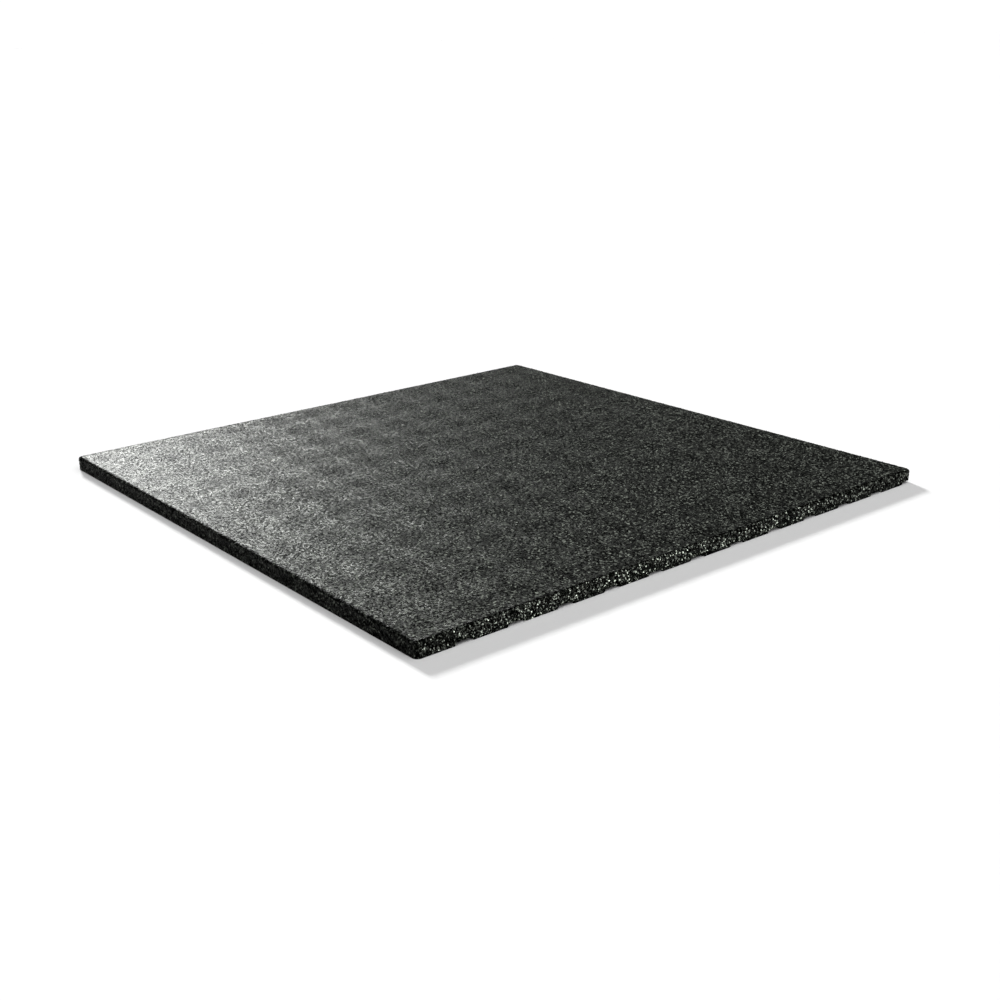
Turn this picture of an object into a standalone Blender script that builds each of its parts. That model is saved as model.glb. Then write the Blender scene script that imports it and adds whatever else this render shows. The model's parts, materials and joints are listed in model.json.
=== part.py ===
"""Impact floor tile: a square slab of bound black rubber granulate, moulded in one piece.

Metres, +Z up. The origin is at the centre of the tile on the floor that it lies on, X and Y run
along its sides, and the upper face lies TILE_THICKNESS above the origin.
"""

import math

import bmesh
import bpy
from mathutils import Matrix

# The slab
TILE_SIDE = 1.000
TILE_THICKNESS = 0.023
CORNER_RADIUS = 0.008  # the four upright corners
ARRIS_RADIUS = 0.004  # round the upper face
ROUND_SEGMENTS = 4

# The studs that it stands on, and the drainage channels between them
STUDS_PER_SIDE = 12
STUD_PITCH = TILE_SIDE / STUDS_PER_SIDE
CHANNEL_MOUTH = 0.029  # width at the floor
CHANNEL_ROOF = 0.024  # width at the top, less the draft that frees it from the mould
CHANNEL_DEPTH = 0.0045
ROWS_ALONG_Y = range(1, STUDS_PER_SIDE + 1)
ROWS_ALONG_X = range(1, STUDS_PER_SIDE)
LEFTWARD_SHIFT = 0.010  # of the rows along Y, so that the last one opens the right-hand side
LEFT_RIM = CHANNEL_MOUTH / 2  # closes the rows along X at the left-hand side

# How far a cutter runs past the faces that it opens
OVERRUN = 0.010

# Where the rows start and end along their own run
THROUGH = (-TILE_SIDE / 2 - OVERRUN, TILE_SIDE / 2 + OVERRUN)
FROM_THE_RIM = (-TILE_SIDE / 2 + LEFT_RIM, TILE_SIDE / 2 + OVERRUN)

# Colour, roughness and metallic value of the bound granulate
GRANULATE_COLOR = (0.020, 0.021, 0.020, 1.0)
GRANULATE_ROUGHNESS = 0.72
GRANULATE_METALLIC = 0.0


def clear_scene():
    for obj in list(bpy.data.objects):
        bpy.data.objects.remove(obj, do_unlink=True)


def granulate_material():
    material = bpy.data.materials.new("rubber_granulate")
    material.use_nodes = True
    shader = material.node_tree.nodes["Principled BSDF"]
    shader.inputs["Base Color"].default_value = GRANULATE_COLOR
    shader.inputs["Roughness"].default_value = GRANULATE_ROUGHNESS
    shader.inputs["Metallic"].default_value = GRANULATE_METALLIC
    return material


def object_from(bm, name):
    """Turns a bmesh into an object of the scene, and frees it."""
    bmesh.ops.recalc_face_normals(bm, faces=bm.faces)
    mesh = bpy.data.meshes.new(name)
    bm.to_mesh(mesh)
    bm.free()
    obj = bpy.data.objects.new(name, mesh)
    bpy.context.scene.collection.objects.link(obj)
    return obj


def is_upright(edge):
    start, end = (vertex.co for vertex in edge.verts)
    return math.hypot(end.x - start.x, end.y - start.y) < 1e-6


def is_upper(edge):
    return all(vertex.co.z > TILE_THICKNESS - 1e-6 for vertex in edge.verts)


def round_over(bm, edges, radius):
    bmesh.ops.bevel(
        bm,
        geom=edges,
        offset=radius,
        segments=ROUND_SEGMENTS,
        profile=0.5,
        affect="EDGES",
        clamp_overlap=True,
    )


def make_slab():
    """The tile before its channels: corners rounded first, then the arris that runs round them."""
    bm = bmesh.new()
    bmesh.ops.create_cube(bm, size=1.0)
    bmesh.ops.scale(bm, verts=bm.verts, vec=(TILE_SIDE, TILE_SIDE, TILE_THICKNESS))
    bmesh.ops.translate(bm, verts=bm.verts, vec=(0.0, 0.0, TILE_THICKNESS / 2))
    round_over(bm, [edge for edge in bm.edges if is_upright(edge)], CORNER_RADIUS)
    round_over(bm, [edge for edge in bm.edges if is_upper(edge)], ARRIS_RADIUS)
    return object_from(bm, "impact_tile")


def channel_section():
    """Half widths and heights of a channel's cutter, from below the floor up to its roof."""
    draft = (CHANNEL_MOUTH - CHANNEL_ROOF) / 2 / CHANNEL_DEPTH
    half_mouth = CHANNEL_MOUTH / 2
    return [
        (-half_mouth - draft * OVERRUN, -OVERRUN),
        (half_mouth + draft * OVERRUN, -OVERRUN),
        (CHANNEL_ROOF / 2, CHANNEL_DEPTH),
        (-CHANNEL_ROOF / 2, CHANNEL_DEPTH),
    ]


def row_centres(rows, shift):
    return [row * STUD_PITCH - TILE_SIDE / 2 + shift for row in rows]


def make_channel_cutter(name, centres, run, turn):
    """One prism at each of the centres, along Y over the run, all turned about Z by the angle."""
    start, end = run
    bm = bmesh.new()
    for centre in centres:
        corners = [(centre + side, start, height) for side, height in channel_section()]
        near_end = bm.faces.new([bm.verts.new(corner) for corner in corners])
        swept = bmesh.ops.extrude_face_region(bm, geom=[near_end])["geom"]
        far_end = [item for item in swept if isinstance(item, bmesh.types.BMVert)]
        bmesh.ops.translate(bm, verts=far_end, vec=(0.0, end - start, 0.0))
    bmesh.ops.rotate(bm, verts=bm.verts, cent=(0, 0, 0), matrix=Matrix.Rotation(turn, 3, "Z"))
    cutter = object_from(bm, name)
    cutter.hide_render = True
    cutter.display_type = "WIRE"
    return cutter


def cut(obj, cutter):
    boolean = obj.modifiers.new(cutter.name, "BOOLEAN")
    boolean.operation = "DIFFERENCE"
    boolean.solver = "EXACT"
    boolean.object = cutter


def main():
    clear_scene()
    tile = make_slab()
    along_y = row_centres(ROWS_ALONG_Y, -LEFTWARD_SHIFT)
    along_x = row_centres(ROWS_ALONG_X, 0.0)
    cut(tile, make_channel_cutter("channels_along_y", along_y, THROUGH, 0.0))
    cut(tile, make_channel_cutter("channels_along_x", along_x, FROM_THE_RIM, -math.pi / 2))
    tile.data.materials.append(granulate_material())


main()
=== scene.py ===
# Impact floor tile: black rubber crumb bound with polyurethane and moulded in one piece.
# The tile lies on a white studio floor. A low light behind it draws the shadow, and a second one
# beside that draws the highlight that fades from the left corner across the walking face.
import json
import math
import random

import bmesh
import bpy
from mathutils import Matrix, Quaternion, Vector

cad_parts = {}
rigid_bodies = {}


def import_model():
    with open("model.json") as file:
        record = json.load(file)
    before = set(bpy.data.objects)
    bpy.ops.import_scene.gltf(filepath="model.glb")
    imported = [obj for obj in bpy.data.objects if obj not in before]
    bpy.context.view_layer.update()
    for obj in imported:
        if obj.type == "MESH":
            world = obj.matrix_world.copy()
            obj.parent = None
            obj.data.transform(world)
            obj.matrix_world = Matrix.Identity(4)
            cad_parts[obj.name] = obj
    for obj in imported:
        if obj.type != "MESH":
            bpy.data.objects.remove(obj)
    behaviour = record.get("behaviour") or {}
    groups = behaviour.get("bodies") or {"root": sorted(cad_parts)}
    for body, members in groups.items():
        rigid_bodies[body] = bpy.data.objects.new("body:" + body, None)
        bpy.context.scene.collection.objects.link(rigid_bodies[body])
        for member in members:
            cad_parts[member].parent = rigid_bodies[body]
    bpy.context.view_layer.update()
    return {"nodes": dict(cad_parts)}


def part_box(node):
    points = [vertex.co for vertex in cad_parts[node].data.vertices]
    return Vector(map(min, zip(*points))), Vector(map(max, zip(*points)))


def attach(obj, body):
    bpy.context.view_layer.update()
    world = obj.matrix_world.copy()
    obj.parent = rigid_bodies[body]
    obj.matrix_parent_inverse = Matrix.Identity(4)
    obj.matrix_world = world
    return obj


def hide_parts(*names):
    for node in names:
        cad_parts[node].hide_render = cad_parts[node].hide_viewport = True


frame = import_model()
print("frame loaded:", ", ".join(frame["nodes"]))

mergeDistance = 1e-6  # metres, within which two points of the CAD solid's loose triangles are one


def hexColor(text):
    # An sRGB hex value turned to the linear colour that the shaders take
    channels = [int(text[i:i + 2], 16) / 255 for i in (1, 3, 5)]
    return [c / 12.92 if c <= 0.04045 else ((c + 0.055) / 1.055) ** 2.4 for c in channels] + [1.0]


def addNode(tree, kind, settings=None, links=None):
    # One node with its properties, its socket values and what feeds its sockets
    node = tree.nodes.new(kind)
    for name, value in (settings or {}).items():
        if isinstance(name, str) and hasattr(node, name):
            setattr(node, name, value)
        else:
            node.inputs[name].default_value = value
    for name, source in (links or {}).items():
        tree.links.new(source, node.inputs[name])
    return node


def emptyMaterial(name):
    material = bpy.data.materials.new(name)
    material.use_nodes = True
    material.node_tree.nodes.clear()
    return material, material.node_tree


def azimuthVector(azimuth, elevation):
    # Unit vector towards a light: azimuth counted from +X towards +Y
    a, e = math.radians(azimuth), math.radians(elevation)
    return Vector((math.cos(a) * math.cos(e), math.sin(a) * math.cos(e), math.sin(e)))


camera = {
    "aim": (-0.0990, -0.1698, 0.023),
    "azimuth": 39.09,  # off the front side's square-on view, towards the left
    "elevation": 19.27,
    "distance": 2.057,
    "roll": -0.95,
    "lens": 47.86,
}


def makeCamera():
    a, e = math.radians(camera["azimuth"]), math.radians(camera["elevation"])
    back = Vector((-math.sin(a) * math.cos(e), -math.cos(a) * math.cos(e), math.sin(e)))
    data = bpy.data.cameras.new("photoCamera")
    data.lens = camera["lens"]
    obj = bpy.data.objects.new("photoCamera", data)
    obj.location = Vector(camera["aim"]) + back * camera["distance"]
    obj.rotation_mode = "QUATERNION"
    roll = Quaternion((0, 0, 1), math.radians(camera["roll"]))
    obj.rotation_quaternion = (-back).to_track_quat("-Z", "Y") @ roll
    bpy.context.scene.collection.objects.link(obj)
    bpy.context.scene.camera = obj
    print("camera placed")


# Suns. The key draws the shadow and the fill lifts it, and neither shows as a reflection. The
# sheen is the highlight alone.
lights = {
    "key": {"azimuth": 73.5, "elevation": 22.7, "strength": 4.5, "angle": 8, "gives": "diffuse"},
    "fill": {"azimuth": 264, "elevation": 64, "strength": 2.4, "angle": 90, "gives": "diffuse"},
    "sheen": {"azimuth": 70.5, "elevation": 28.0, "strength": 2.15, "angle": 10, "gives": "glossy"},
}
sideLight = {"place": (-0.13, -0.95, 0.05), "strength": 190, "radius": 0.12}


def hangLight(data, gives):
    obj = bpy.data.objects.new(data.name, data)
    obj.visible_diffuse = gives != "glossy"
    obj.visible_glossy = gives != "diffuse"
    obj.visible_camera = False
    bpy.context.scene.collection.objects.link(obj)
    return obj


def makeSun(name, azimuth, elevation, strength, angle, gives):
    data = bpy.data.lights.new(name, "SUN")
    data.energy = strength
    data.angle = math.radians(angle)
    obj = hangLight(data, gives)
    obj.rotation_mode = "QUATERNION"
    obj.rotation_quaternion = azimuthVector(azimuth, elevation).to_track_quat("Z", "Y")


def makeSideLight(piece):
    # A small lamp low in front, which lights this piece and nothing else: on the walking face it
    # would be a white glare in the view from the back
    data = bpy.data.lights.new("sideLight", "POINT")
    data.energy = sideLight["strength"]
    data.shadow_soft_size = sideLight["radius"]
    lamp = hangLight(data, "both")
    lamp.location = sideLight["place"]
    lit = bpy.data.collections.new("litBySideLight")
    lit.objects.link(piece)
    lamp.light_linking.receiver_collection = lit


studio = {"floorColor": "#e9e9e9", "floorReach": 200.0, "backdrop": 1.05, "surround": 0.03}


def makeStudio():
    for name, values in lights.items():
        makeSun(name, **values)
    world = bpy.data.worlds.new("studioWorld")
    world.use_nodes = True
    tree = world.node_tree
    tree.nodes.clear()
    path = addNode(tree, "ShaderNodeLightPath")
    dim = addNode(tree, "ShaderNodeBackground", {"Color": (1, 1, 1, 1), "Strength": studio["surround"]})
    white = addNode(tree, "ShaderNodeBackground", {"Color": (1, 1, 1, 1), "Strength": studio["backdrop"]})
    mix = addNode(tree, "ShaderNodeMixShader", None,
                  {0: path.outputs["Is Camera Ray"], 1: dim.outputs[0], 2: white.outputs[0]})
    addNode(tree, "ShaderNodeOutputWorld", None, {"Surface": mix.outputs[0]})
    bpy.context.scene.world = world
    bpy.context.scene.view_settings.view_transform = "Standard"

    bm = bmesh.new()
    bmesh.ops.create_grid(bm, x_segments=1, y_segments=1, size=studio["floorReach"])
    mesh = bpy.data.meshes.new("studioFloor")
    bm.to_mesh(mesh)
    bm.free()
    floor = bpy.data.objects.new("studioFloor", mesh)
    bpy.context.scene.collection.objects.link(floor)
    material, tree = emptyMaterial("paintedStudioFloor")
    shader = addNode(tree, "ShaderNodeBsdfDiffuse", {"Color": hexColor(studio["floorColor"])})
    addNode(tree, "ShaderNodeOutputMaterial", None, {"Surface": shader.outputs[0]})
    mesh.materials.append(material)
    print("studio ready")


granulate = {
    "dark": "#0b0c0b",
    "light": "#858a81",
    "paleness": 7.0,  # the higher it is, the fewer of the crumbs are pale; the pale ones are grey crumbs and painted glints
    # painted shade: the colour of a gap between crumbs, darker than any crumb for the shade that falls in it
    "paintedPoreShade": "#020302",
    "ior": 1.5,
    "tint": "#f4ffe4",
    "gloss": 0.20,  # specular level of a crumb
    "crumb": 0.0022,  # metres across one crumb
    "pores": 0.32,  # part of the crumbs' places that are gaps between crumbs
    "poreGloss": 0.02,  # specular level of a gap
    "tilt": 0.22,  # slope of one crumb's face against its neighbour's
    "grain": 0.0006,  # metres across the torn grain on a crumb's face
    "grainDepth": 0.000065,
    "clump": 0.005,  # metres across the places where the crumbs are darker or paler together
    "clumpReach": (0.3, 0.7),  # values of the noise at which they are darkest and palest
    "clumpShades": (0.5, 1.5),
    "roughness": (0.33, 0.39),
    "patch": 0.060,  # metres across the places that were pressed a little more or less
    "patchDetail": 2.5,
    "patchRaggedness": 0.8,
    "patchSwing": 0.52,  # how much relief and gloss differ between those places
    "studs": 12,  # along each side of the underside
    "studShift": 0.010,  # leftward, of the channels that run along Y
    "studSwing": 0.27,  # part of relief and gloss that is pressed away over the studs
    "sideGloss": 0.14,  # of the walking face's gloss
    "sidePaintedShade": 0.46,  # painted shade: the sides' and the arris' colour, as a part of the walking face's
}


def overChannels(tree, along, shift, relief):
    # Takes the relief up a little over each channel, and down over each stud, by a cosine
    pitch = (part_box("impact_tile")[1][0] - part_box("impact_tile")[0][0]) / granulate["studs"]
    phase = addNode(tree, "ShaderNodeMath",
                    {"operation": "MULTIPLY_ADD", 1: math.tau / pitch, 2: math.tau * shift / pitch},
                    {0: along})
    wave = addNode(tree, "ShaderNodeMath", {"operation": "COSINE"}, {0: phase.outputs[0]})
    raised = addNode(tree, "ShaderNodeMath", {"operation": "MULTIPLY_ADD", 1: granulate["studSwing"]},
                     {0: wave.outputs[0], 2: relief})
    return raised.outputs[0]


def boundGranulate():
    # SBR crumb in polyurethane binder: near black, with small faces that glint between dull pores, painted
    # darker still as painted shade. The mould presses the walking face smooth, and the sides stay duller;
    # the sides and the arris are painted darker as well, as painted shade.
    material, tree = emptyMaterial("boundRubberGranulate")
    place = addNode(tree, "ShaderNodeTexCoord").outputs["Object"]
    xyz = addNode(tree, "ShaderNodeSeparateXYZ", None, {0: place})
    onTop = addNode(tree, "ShaderNodeAttribute", {"attribute_name": "walkingFace"}).outputs["Fac"]

    # Each cell is one crumb, or the pore that one crumb's place leaves. A pore's colour is painted near
    # black, as painted shade in the gap
    crumbs = addNode(tree, "ShaderNodeTexVoronoi", {"Scale": 1 / granulate["crumb"]}, {"Vector": place})
    pick = addNode(tree, "ShaderNodeSeparateColor", None, {"Color": crumbs.outputs["Color"]})
    filled = addNode(tree, "ShaderNodeMath", {"operation": "GREATER_THAN", 1: granulate["pores"]},
                     {0: pick.outputs[2]})

    # Heights in metres: each crumb leans its own way under a torn grain
    lean = addNode(tree, "ShaderNodeVectorMath", {"operation": "SUBTRACT", 1: (0.5, 0.5, 0.5)},
                   {0: crumbs.outputs["Color"]})
    arm = addNode(tree, "ShaderNodeVectorMath", {"operation": "SUBTRACT"},
                  {0: place, 1: crumbs.outputs["Position"]})
    rise = addNode(tree, "ShaderNodeVectorMath", {"operation": "DOT_PRODUCT"},
                   {0: lean.outputs[0], 1: arm.outputs[0]})
    tilted = addNode(tree, "ShaderNodeMath", {"operation": "MULTIPLY", 1: granulate["tilt"]},
                     {0: rise.outputs["Value"]})
    grain = addNode(tree, "ShaderNodeTexNoise", {"Scale": 1 / granulate["grain"], "Detail": 1.0},
                    {"Vector": place})
    torn = addNode(tree, "ShaderNodeMath", {"operation": "MULTIPLY_ADD", 1: granulate["grainDepth"]},
                   {0: grain.outputs[0], 2: tilted.outputs[0]})

    # The relief is flatter where the press bore harder: in patches, and over the underside's studs
    patch = addNode(tree, "ShaderNodeTexNoise",
                    {"Scale": 1 / granulate["patch"], "Detail": granulate["patchDetail"],
                     "Roughness": granulate["patchRaggedness"]}, {"Vector": place})
    half = granulate["patchSwing"] / 2
    relief = addNode(tree, "ShaderNodeMapRange", {"To Min": 1 - half, "To Max": 1 + half},
                     {"Value": patch.outputs[0]}).outputs[0]
    for axis, shift in ((0, granulate["studShift"]), (1, 0.0)):
        relief = overChannels(tree, xyz.outputs[axis], shift, relief)
    pressed = addNode(tree, "ShaderNodeMath", {"operation": "MULTIPLY"}, {0: torn.outputs[0], 1: relief})
    bump = addNode(tree, "ShaderNodeBump", {"Strength": 1.0, "Distance": 1.0},
                   {"Height": pressed.outputs[0]})

    low, high = granulate["roughness"]
    polish = addNode(tree, "ShaderNodeMapRange", {"To Min": low, "To Max": high}, {"Value": pick.outputs[0]})
    gloss = addNode(tree, "ShaderNodeMapRange",
                    {"To Min": granulate["poreGloss"], "To Max": granulate["gloss"]},
                    {"Value": filled.outputs[0]})
    dulling = addNode(tree, "ShaderNodeMapRange", {"To Min": granulate["sideGloss"]}, {"Value": onTop})
    marked = addNode(tree, "ShaderNodeMath", {"operation": "MULTIPLY"}, {0: gloss.outputs[0], 1: relief})
    dulled = addNode(tree, "ShaderNodeMath", {"operation": "MULTIPLY"},
                     {0: marked.outputs[0], 1: dulling.outputs[0]})
    # Some crumbs are paler at random: partly grey crumbs, partly painted glints on the dark rubber
    paleAndGlinting = addNode(tree, "ShaderNodeMath", {"operation": "POWER", 1: granulate["paleness"]},
                   {0: pick.outputs[1]})
    shade = addNode(tree, "ShaderNodeMix", {"data_type": "RGBA", 6: hexColor(granulate["dark"]),
                                            7: hexColor(granulate["light"])}, {0: paleAndGlinting.outputs[0]})
    # The gaps take the near-black painted shade colour, the crumbs their own
    color = addNode(tree, "ShaderNodeMix", {"data_type": "RGBA", 6: hexColor(granulate["paintedPoreShade"])},
                    {0: filled.outputs[0], 7: shade.outputs[2]})
    # Painted shade: off the walking face, on the sides and the arris, the colour is darkened
    paintedSideShade = addNode(tree, "ShaderNodeMapRange", {"To Min": granulate["sidePaintedShade"]}, {"Value": onTop})
    clump = addNode(tree, "ShaderNodeTexNoise", {"Scale": 1 / granulate["clump"], "Detail": 1.0},
                    {"Vector": place})
    atDarkest, atPalest = granulate["clumpReach"]
    darkest, palest = granulate["clumpShades"]
    clumped = addNode(tree, "ShaderNodeMapRange",
                      {"From Min": atDarkest, "From Max": atPalest, "To Min": darkest, "To Max": palest},
                      {"Value": clump.outputs[0]})
    # The sides' painted shade, times the crumbs' darker and paler clumps
    sideShadeAndClumps = addNode(tree, "ShaderNodeMath", {"operation": "MULTIPLY"},
                     {0: paintedSideShade.outputs[0], 1: clumped.outputs[0]})
    shaded = addNode(tree, "ShaderNodeVectorMath", {"operation": "SCALE"},
                     {0: color.outputs[2], "Scale": sideShadeAndClumps.outputs[0]})
    # The specular level also keeps a value of its own, the crumbs' level, for use where its link is dropped
    shader = addNode(tree, "ShaderNodeBsdfPrincipled",
                     {"IOR": granulate["ior"], "Specular Tint": hexColor(granulate["tint"]),
                      "Specular IOR Level": granulate["gloss"]},
                     {"Base Color": shaded.outputs[0], "Roughness": polish.outputs[0],
                      "Specular IOR Level": dulled.outputs[0], "Normal": bump.outputs[0]})
    addNode(tree, "ShaderNodeOutputMaterial", None, {"Surface": shader.outputs[0]})
    return material


body = {
    "cells": 285,  # along each side, so one cell is about a crumb wide
    "sideRows": 5,
    "bandFoot": 0.0055,  # just above the channels' roofs
    "slack": 1e-5,  # metres that a point at the band's foot may lie low
    "cornerRadius": 0.008,
    "coplanar": 1.0,  # degrees, under which two faces of the CAD solid are made one
    "longRun": 0.9,  # part of the tile's side past which an edge is divided into cells
    "flat": 0.999,  # least upward part of a normal on the walking face
    "level": 0.99,  # the same where the relief is the walking face's
    "topRelief": 0.00015,  # how far the crumbs' heights differ on the walking face
    "sideRelief": 0.0005,
    "wander": 0.28,  # sideways, as a part of the shortest edge
    "seed": 7,
}


def cutAcross(bm, point, normal):
    bmesh.ops.bisect_plane(bm, geom=bm.verts[:] + bm.edges[:] + bm.faces[:], dist=mergeDistance,
                           plane_co=point, plane_no=normal)


def crumbleSurface(bm):
    # Every point above the channels moves along its normal and a little sideways
    pick = random.Random(body["seed"])
    moves = []
    for vertex in bm.verts:
        if vertex.co.z < body["bandFoot"] - body["slack"]:
            continue
        out = vertex.normal.copy()
        reach = body["wander"] * min(edge.calc_length() for edge in vertex.link_edges)
        aside = Vector([pick.uniform(-1, 1) for axis in range(3)])
        aside -= out * aside.dot(out)
        relief = body["topRelief"] if out.z > body["level"] else body["sideRelief"]
        moves.append((vertex, aside * reach - out * abs(pick.gauss(0, 1)) * relief))
    for vertex, move in moves:
        vertex.co += move


def makeTileBody():
    # The CAD solid, with its walking face and sides divided down to crumbs
    low, high = (Vector(corner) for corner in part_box("impact_tile"))
    bm = bmesh.new()
    bm.from_mesh(frame["nodes"]["impact_tile"].data)
    bmesh.ops.remove_doubles(bm, verts=bm.verts, dist=mergeDistance)
    bmesh.ops.dissolve_limit(bm, angle_limit=math.radians(body["coplanar"]), verts=bm.verts, edges=bm.edges)
    for side in (low + Vector((body["cornerRadius"],) * 3), high - Vector((body["cornerRadius"],) * 3)):
        cutAcross(bm, side, (1, 0, 0))
        cutAcross(bm, side, (0, 1, 0))
    cutAcross(bm, (0, 0, body["bandFoot"]), (0, 0, 1))
    uprights = [edge for edge in bm.edges if abs(edge.verts[0].co.z - edge.verts[1].co.z) > high.z / 2]
    bmesh.ops.subdivide_edges(bm, edges=uprights, cuts=body["sideRows"] - 1, use_grid_fill=True)
    long = [edge for edge in bm.edges if edge.calc_length() > (high.x - low.x) * body["longRun"]]
    bmesh.ops.subdivide_edges(bm, edges=long, cuts=body["cells"] - 1, use_grid_fill=True)
    bm.normal_update()
    pressed = bm.verts.layers.float.new("walkingFace")  # 1 on the flat that the mould pressed smooth; off it the sides and the arris get painted shade
    for vertex in bm.verts:
        vertex[pressed] = float(vertex.normal.z > body["flat"])
    for edge in bm.edges:
        flats = [face.normal.z > body["flat"] for face in edge.link_faces]
        edge.smooth = all(flats) or not any(flats)  # the flat meets the arris in a line
    crumbleSurface(bm)
    bmesh.ops.triangulate(bm, faces=bm.faces[:], quad_method="BEAUTY", ngon_method="BEAUTY")
    mesh = bpy.data.meshes.new("rubberTile")
    bm.to_mesh(mesh)
    bm.free()
    mesh.shade_smooth()
    piece = bpy.data.objects.new("rubberTile", mesh)
    bpy.context.scene.collection.objects.link(piece)
    print("tile body:", len(mesh.polygons), "triangles")
    return piece


sideCrumbs = {
    "sides": {"Front": (0, -1, 0), "Left": (-1, 0, 0), "Back": (0, 1, 0), "Right": (1, 0, 0)},
    "facing": 0.5,  # least cosine between a face and its side's outward direction
    "depth": 0.004,  # a face further in than this is a channel's, not the side's
    "spacing": 0.0017,
    "density": 450000.0,  # tries for each square metre
    "radius": (0.0007, 0.0015),
    "sink": (0.0006, 0.0011),
    "proud": 0.00025,  # past the moulded faces, which the crumbs are pressed flat against
    "footGap": 0.0002,
}


def crumbScatter(seed):
    # Geometry nodes that set a faceted crumb at each of many scattered points
    tree = bpy.data.node_groups.new("crumbScatter", "GeometryNodeTree")
    tree.interface.new_socket("Geometry", in_out="INPUT", socket_type="NodeSocketGeometry")
    tree.interface.new_socket("Geometry", in_out="OUTPUT", socket_type="NodeSocketGeometry")
    surface = addNode(tree, "NodeGroupInput").outputs[0]
    points = addNode(tree, "GeometryNodeDistributePointsOnFaces",
                     {"distribute_method": "POISSON", "Distance Min": sideCrumbs["spacing"],
                      "Density Max": sideCrumbs["density"], "Seed": seed}, {"Mesh": surface})
    nearest, deepest = sideCrumbs["sink"]
    sink = addNode(tree, "FunctionNodeRandomValue",
                   {"data_type": "FLOAT", 2: -deepest, 3: -nearest, "Seed": seed + 1})
    inward = addNode(tree, "ShaderNodeVectorMath", {"operation": "SCALE"},
                     {0: points.outputs["Normal"], "Scale": sink.outputs[1]})
    sunk = addNode(tree, "GeometryNodeSetPosition", None,
                   {"Geometry": points.outputs[0], "Offset": inward.outputs[0]})
    turn = addNode(tree, "FunctionNodeRandomValue",
                   {"data_type": "FLOAT_VECTOR", 0: (0, 0, 0), 1: (math.tau,) * 3, "Seed": seed + 2})
    spin = addNode(tree, "FunctionNodeEulerToRotation", None, {0: turn.outputs[0]})
    small, big = sideCrumbs["radius"]
    size = addNode(tree, "FunctionNodeRandomValue",
                   {"data_type": "FLOAT_VECTOR", 0: (small,) * 3, 1: (big,) * 3, "Seed": seed + 3})
    crumb = addNode(tree, "GeometryNodeMeshIcoSphere", {"Radius": 1.0, "Subdivisions": 1})
    crumbs = addNode(tree, "GeometryNodeInstanceOnPoints", None,
                     {"Points": sunk.outputs[0], "Instance": crumb.outputs[0],
                      "Rotation": spin.outputs[0], "Scale": size.outputs[0]})
    joined = addNode(tree, "GeometryNodeRealizeInstances", None, {0: crumbs.outputs[0]})
    addNode(tree, "NodeGroupOutput", None, {0: joined.outputs[0]})
    return tree


def makeSideCrumbs(side, outward, seed):
    # The crumbs that show along one side and round the arris above it
    low, high = (Vector(corner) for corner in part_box("impact_tile"))
    outward = Vector(outward)
    bm = bmesh.new()
    bm.from_mesh(frame["nodes"]["impact_tile"].data)
    bmesh.ops.remove_doubles(bm, verts=bm.verts, dist=mergeDistance)
    bm.normal_update()
    edgeOfSide = high.x - sideCrumbs["depth"]  # the tile is square, so it serves all four sides
    others = [face for face in bm.faces if face.normal.dot(outward) < sideCrumbs["facing"]
              or face.calc_center_median().dot(outward) < edgeOfSide]
    bmesh.ops.delete(bm, geom=others, context="FACES")
    strip = bpy.data.meshes.new("sideStrip")
    bm.to_mesh(strip)
    bm.free()
    carrier = bpy.data.objects.new("sideStrip", strip)
    bpy.context.scene.collection.objects.link(carrier)
    scatter = carrier.modifiers.new("scatter", "NODES")
    scatter.node_group = crumbScatter(seed)
    shown = carrier.evaluated_get(bpy.context.evaluated_depsgraph_get())
    mesh = bpy.data.meshes.new_from_object(shown)
    bpy.data.objects.remove(carrier, do_unlink=True)

    proud = Vector((sideCrumbs["proud"],) * 3)
    lowest, highest = low - proud, high + proud
    lowest.z = low.z + sideCrumbs["footGap"]
    for vertex in mesh.vertices:
        vertex.co = [min(max(value, least), most) for value, least, most in zip(vertex.co, lowest, highest)]
    mesh.name = "sideCrumbs" + side
    piece = bpy.data.objects.new("sideCrumbs" + side, mesh)
    bpy.context.scene.collection.objects.link(piece)
    print("crumbs on the", side.lower(), "side:", len(mesh.polygons), "triangles")
    return piece


makeCamera()
makeStudio()
rubber = boundGranulate()
tileBody = makeTileBody()
tileBody.data.materials.append(rubber)
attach(tileBody, "root")
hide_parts("impact_tile")
for number, (side, outward) in enumerate(sideCrumbs["sides"].items()):
    crumbs = makeSideCrumbs(side, outward, 10 * number)
    crumbs.data.materials.clear()
    crumbs.data.materials.append(rubber)
    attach(crumbs, "root")
    if side == "Front":
        makeSideLight(crumbs)
